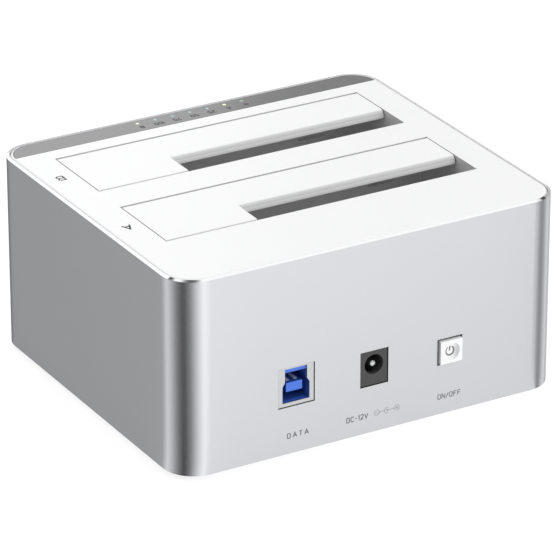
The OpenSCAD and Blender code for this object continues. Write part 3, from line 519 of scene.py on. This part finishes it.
# Line letters in a box one high: each is a list of strokes, a stroke that ends where it starts is closed
LETTERS = {
    "A": [[(0, 0), (0.42, 1), (0.84, 0)], [(0.16, 0.34), (0.68, 0.34)]],
    "B": [
        [(0, 0), (0, 1), (0.5, 1), (0.66, 0.86), (0.66, 0.64), (0.5, 0.52), (0, 0.52)],
        [(0.5, 0.52), (0.7, 0.38), (0.7, 0.14), (0.54, 0), (0, 0)],
    ],
    "C": [[(0.66, 0.84), (0.54, 1), (0.14, 1), (0, 0.86), (0, 0.14), (0.14, 0), (0.54, 0), (0.66, 0.16)]],
    "D": [[(0, 0), (0, 1), (0.5, 1), (0.66, 0.84), (0.66, 0.16), (0.5, 0), (0, 0)]],
    "F": [[(0, 0), (0, 1), (0.6, 1)], [(0, 0.52), (0.5, 0.52)]],
    "N": [[(0, 0), (0, 1), (0.66, 0), (0.66, 1)]],
    "O": [
        [
            (0.14, 0), (0, 0.14), (0, 0.86), (0.14, 1), (0.52, 1),
            (0.66, 0.86), (0.66, 0.14), (0.52, 0), (0.14, 0),
        ]
    ],
    "T": [[(0, 1), (0.64, 1)], [(0.32, 1), (0.32, 0)]],
    "V": [[(0, 1), (0.36, 0), (0.72, 1)]],
    "0": [
        [
            (0.14, 0), (0, 0.14), (0, 0.86), (0.14, 1), (0.46, 1),
            (0.6, 0.86), (0.6, 0.14), (0.46, 0), (0.14, 0),
        ]
    ],
    "1": [[(0, 0.8), (0.22, 1), (0.22, 0)]],
    "2": [[(0, 0.84), (0.14, 1), (0.46, 1), (0.6, 0.86), (0.6, 0.6), (0, 0), (0.6, 0)]],
    "5": [[(0.58, 1), (0, 1), (0, 0.56), (0.46, 0.56), (0.6, 0.42), (0.6, 0.14), (0.46, 0), (0, 0)]],
    "7": [[(0, 1), (0.6, 1), (0.22, 0)]],
    "-": [[(0, 0.48), (0.34, 0.48)]],
    "/": [[(0, 0), (0.42, 1)]],
}
LETTER_SPACE = 0.34


def ribbon(stroke, width):
    """Points and faces of a flat line of the given width along a stroke, with mitred corners."""
    closed = stroke[0] == stroke[-1]
    line = [Vector(p) for p in (stroke[:-1] if closed else stroke)]
    count = len(line)
    sides = []
    for i, here in enumerate(line):
        before = line[i - 1] if closed or i else None
        after = line[(i + 1) % count] if closed or i + 1 < count else None
        ahead = [(b - a).normalized() for a, b in ((before, here), (here, after)) if a and b]
        across = [Vector((-d.y, d.x)) for d in ahead]
        lean = across[0] if len(across) == 1 else (across[0] + across[1]) / (1 + across[0].dot(across[1]))
        sides.append((here - lean * width / 2, here + lean * width / 2))
    points = [p for pair in sides for p in pair]
    spans = range(count if closed else count - 1)
    faces = []
    for i in spans:
        j = (i + 1) % count
        faces.append((2 * i, 2 * j, 2 * j + 1, 2 * i + 1))
    return points, faces


def text_strokes(text, space=LETTER_SPACE):
    """The strokes of a line of text one high, centred about its middle, with a space between letters."""
    strokes = []
    left = 0.0
    for letter in text:
        strokes += [[(x + left, y) for x, y in stroke] for stroke in LETTERS[letter]]
        left += max(x for stroke in LETTERS[letter] for x, _ in stroke) + space
    middle = (left - space) / 2
    return [[(x - middle, y - 0.5) for x, y in stroke] for stroke in strokes]


def printed(name, strokes, width, lay, finish, body="housing"):
    """Strokes in millimetres, laid on a surface by a function that places a flat point."""
    points = []
    faces = []
    for stroke in strokes:
        line, spans = ribbon(stroke, width)
        faces += [tuple(i + len(points) for i in span) for span in spans]
        points += [lay(p.x, p.y) for p in line]
    piece(name, points, faces, finish, body)


def scaled(strokes, size):
    return [[(x * size, y * size) for x, y in stroke] for stroke in strokes]


def on_top(x, y):
    return lambda right, up: ((x + right) * MM, (y + up) * MM, TOP + INK_LIFT)


def on_rear(x, z):
    return lambda right, up: ((x - right) * MM, REAR + INK_LIFT, (z + up) * MM)


def circle(x, y, r, start=0.0, sweep=360.0, steps=32):
    turns = [math.radians(start + sweep * i / steps) for i in range(steps + 1)]
    points = [(x + r * math.cos(turn), y + r * math.sin(turn)) for turn in turns]
    if sweep == 360.0:
        points[-1] = points[0]
    return points


def power_strokes(r):
    """An open ring with a bar in its opening."""
    ring = circle(0, 0, r, 90.0 + MARK_OPEN_DEG, 360.0 - 2 * MARK_OPEN_DEG, MARK_STEPS)
    return [ring, [(0, r * up) for up in MARK_BAR]]


for letter, (mark_x, mark_y, mark_stroke) in BAY_MARKS.items():
    printed(
        "mark_bay_" + letter.lower(),
        scaled(text_strokes(letter), BAY_MARK_H),
        mark_stroke,
        on_top(mark_x, mark_y),
        INK,
    )

REAR_NAMES = {"DATA": "mark_data", "DC-12V": "mark_inlet", "ON/OFF": "mark_switch"}
for text, (mark_x, mark_z) in REAR_MARKS.items():
    printed(
        REAR_NAMES[text],
        scaled(text_strokes(text, REAR_MARK_SPACES[text]), REAR_MARK_H),
        REAR_MARK_STROKE,
        on_rear(mark_x, mark_z),
        INK_GREY,
    )

# Polarity of the inlet: a minus, a dot in an open ring and a plus, on one line
polarity = [
    circle(-POLARITY_SPAN, 0, POLARITY_R),
    [(-POLARITY_SPAN - POLARITY_SIGN, 0), (-POLARITY_SPAN + POLARITY_SIGN, 0)],
    [(-POLARITY_SPAN + POLARITY_R, 0), (-POLARITY_R, 0)],
    circle(0, 0, POLARITY_R, POLARITY_OPEN_DEG, 360.0 - 2 * POLARITY_OPEN_DEG),
    circle(0, 0, POLARITY_R / 4),
    [(0, 0), (POLARITY_SPAN - POLARITY_R, 0)],
    circle(POLARITY_SPAN, 0, POLARITY_R),
    [(POLARITY_SPAN - POLARITY_SIGN, 0), (POLARITY_SPAN + POLARITY_SIGN, 0)],
    [(POLARITY_SPAN, -POLARITY_SIGN), (POLARITY_SPAN, POLARITY_SIGN)],
]
printed("mark_polarity", polarity, POLARITY_STROKE, on_rear(*POLARITY_PLACE), INK_PALE)

lamp_marks = {name: scaled(text_strokes(text), LAMP_TEXT_H) for name, text in LAMP_TEXTS.items()}
lamp_marks["lamp_power"] = power_strokes(LAMP_MARK_R)
for lamp_name, lamp_mark in lamp_marks.items():
    lamp_low, lamp_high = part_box(lamp_name)
    lamp_mid = (lamp_low + lamp_high) / 2 / MM
    lamp_place = on_top(lamp_mid.x, lamp_mid.y + LAMP_TEXT_BEHIND)
    printed("mark_" + lamp_name, lamp_mark, LAMP_TEXT_STROKE, lamp_place, INK)


def in_dish(right, up):
    """A point of the button's mark, on the hollow face of the dish."""
    low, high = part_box("power_button")
    middle = (low + high) / 2
    ball = ((DISH_D / 2) ** 2 + DISH_DEPTH**2) / (2 * DISH_DEPTH)
    aside = right + MARK_ASIDE
    sunk = DISH_DEPTH - ball + math.sqrt(ball**2 - aside**2 - up**2)
    return (middle.x - aside * MM, high.y - sunk * MM + INK_LIFT, middle.z + up * MM)


button_mark = power_strokes(MARK_R)
printed("mark_power", button_mark, MARK_STROKE, in_dish, INK_GREY, "power_button")


def spring_path():
    """Middle line of a door spring about its hinge: the door's leg, the coil, then the panel's leg."""
    slope = math.atan2(LEG_RISE, DOOR_EDGE)
    first = math.radians(90.0) - slope
    last = math.radians(180.0 + 360.0 * (COIL_TURNS - 1))
    count = round((last - first) / math.tau * COIL_STEPS)
    coil = []
    for i in range(count + 1):
        angle = first + (last - first) * i / count
        x = SPRING_SIDE_X - COIL_LENGTH + COIL_LENGTH * i / count
        coil.append(Vector((x, COIL_R * math.cos(angle), COIL_R * math.sin(angle))))
    door_end = coil[0] + Vector((0, DOOR_LEG * math.cos(slope), -DOOR_LEG * math.sin(slope)))
    lid_end = coil[-1] - Vector((0, 0, LID_LEG))
    return [door_end, door_end.lerp(coil[0], 0.5)] + coil + [coil[-1].lerp(lid_end, 0.5), lid_end]


def tube(path, diameter, sides):
    """A round wire along a path that never runs along X, closed at both ends."""
    points = []
    for i, here in enumerate(path):
        ahead = (path[min(i + 1, len(path) - 1)] - path[max(i - 1, 0)]).normalized()
        side = ahead.cross(Vector((1, 0, 0))).normalized()
        up = side.cross(ahead)
        for k in range(sides):
            turn = math.tau * k / sides
            points.append(here + (side * math.cos(turn) + up * math.sin(turn)) * diameter / 2)
    faces = []
    for i in range(len(path) - 1):
        for k in range(sides):
            a = i * sides + k
            b = i * sides + (k + 1) % sides
            faces.append((a, b, b + sides, a + sides))
    last = (len(path) - 1) * sides
    faces.append(tuple(reversed(range(sides))))
    faces.append(tuple(range(last, last + sides)))
    return points, faces


for bay, hinge_y in HINGE_Y.items():
    hinge = Vector((0, hinge_y, HINGE_Z))
    wire_points, wire_faces = tube(spring_path(), WIRE_D, WIRE_SIDES)
    spring = piece(
        "spring_" + bay,
        [(p + hinge) * MM for p in wire_points],
        wire_faces,
        STEEL,
        None,
        smooth=True,
    )
    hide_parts("door_spring_" + bay)
    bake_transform(spring)


# Studio floor: what it shows and throws back, more on one side, and evenly under the part
FLOOR_HALF = 3.0
FLOOR_DROP = 0.05 * MM
FLOOR_GLOW = 0.84
FLOOR_SHADOW = 0.25
FLOOR_BOUNCE = 0.4
FLOOR_RELIT = 1.3
RELIT_REACH = 0.15
RELIT_STOPS = [(0.0, 1.0), (0.4, 0.9), (0.6, 0.3), (1.0, 0.1)]
UNDER_GLOW = 0.5
UNDER_HALF = (0.060, 0.053)

# What metal shows of the floor: places by upright corners of the sleeve, degrees about each, and level
MIRROR_PEAK = 1.4
NEAR_CORNER = (0.0580, 0.0512)
NEAR_STOPS = [
    (-180, 0.95), (-130, 0.88), (-108, 0.7), (-96, 0.38), (-88, 0.355), (-80, 0.383),
    (-51, 0.395), (-40, 0.63), (-31, 0.86), (-20, 0.69), (7, 0.27), (32, 0.05),
    (56, 0.29), (90, 1.05), (102, 1.3), (115, 1.0), (180, 0.92),
]
FAR_CORNER = (-0.0566, 0.0562)
FAR_STOPS = [
    (-180, 0.8), (-166, 0.92), (-154, 0.55), (-142, 0.6), (-130, 1.0), (127, 1.0),
    (138, 0.58), (147, 0.36), (156, 0.27), (165, 0.42), (180, 0.8),
]
SIDE_CORNER = (0.0637, -0.0489)
SIDE_STOPS = [(-180, 1.0), (-106, 1.0), (-98, 0.48), (-88, 0.48), (-79, 0.75), (-68, 1.0)]
REAR_FADE_LENGTH = 0.14
REAR_FADE_STOPS = [(0.0, 0.9), (1.0, 1.0)]

# What metal shows of the dome, by height, and of a dark gap in it, by distance from the gap's plane
DOME_STOPS = [(0.0, 0.62), (0.25, 0.52), (0.4, 0.48), (0.64, 0.42), (0.8, 1.0), (1.0, 1.0)]
GAP_PLANE = (-0.181, -0.801, -0.571)
GAP_STOPS = [(0.0, 0.05), (0.05, 0.1), (0.09, 1.0)]

# A dark board overhead, by how near a direction is to it
BOARD_WAY = (-0.146, -0.298, 0.943)
BOARD_STOPS = [(0.0, 1.0), (0.982, 1.0), (0.9975, 0.1), (1.0, 0.06)]

# Fill light on all but metal, by direction from left to right as the front is seen
FILL_STOPS = [(0.0, 1.0), (0.5, 0.6), (1.0, 0.3)]

# Soft boxes: place, aim, width, height, watts, and whether metal shows them
SOFT_BOXES = {
    "light_top": ((0.0, 0.1, 1.3), (0, 0, 0.05), 1.2, 1.2, 5.8, False),
    "light_front": ((0.145, -0.40, 0.36), (0.145, 0.0, 0.36), 0.71, 0.5, 0.72, True),
    "light_rear": ((-0.5, 0.95, 0.6), (0, 0, 0.04), 0.6, 0.5, 1.6, False),
}


def turn_about(nodes, place, corner):
    """Angle of a floor point about a corner, from 0 to 1 for -180 to 180 degrees."""
    away = [nodes.math("SUBTRACT", place[i], corner[i]) for i in (0, 1)]
    angle = nodes.math("ARCTAN2", away[1], away[0])
    return nodes.math("ADD", nodes.math("DIVIDE", angle, math.tau), 0.5)


def degrees(stops, peak):
    return [((place + 180.0) / 360.0, level / peak) for place, level in stops]


def floor_level(nodes, place):
    """Level of the floor in metal, like a table among flags."""
    near = nodes.ramp(turn_about(nodes, place, NEAR_CORNER), degrees(NEAR_STOPS, MIRROR_PEAK))
    far = nodes.ramp(turn_about(nodes, place, FAR_CORNER), degrees(FAR_STOPS, 1.0))
    side = nodes.ramp(turn_about(nodes, place, SIDE_CORNER), degrees(SIDE_STOPS, 1.0))
    beyond = nodes.math("SUBTRACT", place["Y"], REAR)
    faded = nodes.math("DIVIDE", beyond, REAR_FADE_LENGTH, clamp=True)
    faded = nodes.math("MAXIMUM", faded, nodes.math("LESS_THAN", beyond, 0.0))
    return nodes.product(near, far, MIRROR_PEAK, side, nodes.ramp(faded, REAR_FADE_STOPS))


def seen(nodes, path):
    """Rays from the camera, also after they pass through a clear face."""
    return nodes.math("MAXIMUM", path["Is Camera Ray"], path["Is Transmission Ray"])


def floor_material():
    """White from above with a soft shadow, clear from below, and shaded where metal shows it."""
    made, nodes = material("floor_white")
    face = nodes.add("ShaderNodeNewGeometry").outputs
    place = nodes.parts(face["Position"])
    path = nodes.add("ShaderNodeLightPath").outputs
    level = floor_level(nodes, place)
    aside = nodes.math("ADD", nodes.math("DIVIDE", place["X"], 2 * RELIT_REACH), 0.5)
    relit = nodes.product(level, nodes.ramp(aside, RELIT_STOPS), FLOOR_RELIT)
    off = [nodes.math("ABSOLUTE", place[i]) for i in (0, 1)]
    under = nodes.product(*[nodes.math("LESS_THAN", off[i], UNDER_HALF[i]) for i in (0, 1)])
    relit = nodes.mix(under, relit, UNDER_GLOW)
    bounce = nodes.both(nodes.diffuse(FLOOR_BOUNCE), nodes.emission(relit))
    shown = nodes.both(nodes.emission(FLOOR_GLOW), nodes.diffuse(FLOOR_SHADOW))
    rest = nodes.either(path["Is Glossy Ray"], bounce, nodes.emission(level))
    above = nodes.either(seen(nodes, path), rest, shown)
    clear = nodes.add("ShaderNodeBsdfTransparent").outputs[0]
    surface = nodes.either(face["Backfacing"], above, clear)
    nodes.add("ShaderNodeOutputMaterial", {"Surface": surface})
    made.cycles.emission_sampling = "NONE"
    return made


def make_floor():
    mesh = bpy.data.meshes.new("floor")
    half = FLOOR_HALF
    low = -FLOOR_DROP
    corners = [(-half, -half, low), (half, -half, low), (half, half, low), (-half, half, low)]
    mesh.from_pydata(corners, [], [(0, 1, 2, 3)])
    mesh.materials.append(floor_material())
    floor = bpy.data.objects.new("floor", mesh)
    bpy.context.scene.collection.objects.link(floor)


def make_world():
    """White to the camera; metal shows a dome with a gap and a board, and the rest gets the fill."""
    world = bpy.data.worlds.new("studio")
    world.use_nodes = True
    bpy.context.scene.world = world
    nodes = Nodes(world.node_tree)
    path = nodes.add("ShaderNodeLightPath").outputs
    way = nodes.add("ShaderNodeTexCoord").outputs["Generated"]
    parts = nodes.parts(way)
    gap = nodes.ramp(nodes.math("ABSOLUTE", nodes.dot(way, GAP_PLANE)), GAP_STOPS)
    board = nodes.ramp(nodes.dot(way, BOARD_WAY), BOARD_STOPS)
    dome = nodes.product(nodes.ramp(parts["Z"], DOME_STOPS), gap, board)
    aside = nodes.math("ADD", nodes.product(parts["X"], 0.5), 0.5)
    strength = nodes.mix(path["Is Glossy Ray"], nodes.ramp(aside, FILL_STOPS), dome)
    strength = nodes.mix(seen(nodes, path), strength, 1.0)
    back = nodes.add("ShaderNodeBackground", {"Color": WHITE, "Strength": strength}).outputs[0]
    nodes.add("ShaderNodeOutputWorld", {"Surface": back})


def soft_box(name, place, aim, width, height, watts, mirrored):
    data = bpy.data.lights.new(name, "AREA")
    data.shape = "RECTANGLE"
    data.size = width
    data.size_y = height
    data.energy = watts
    light = bpy.data.objects.new(name, data)
    light.location = place
    light.rotation_mode = "QUATERNION"
    light.rotation_quaternion = (Vector(aim) - Vector(place)).to_track_quat("-Z", "Y")
    light.visible_camera = False
    light.visible_glossy = mirrored
    bpy.context.scene.collection.objects.link(light)


make_floor()
make_world()
for light_name, light_settings in SOFT_BOXES.items():
    soft_box(light_name, *light_settings)
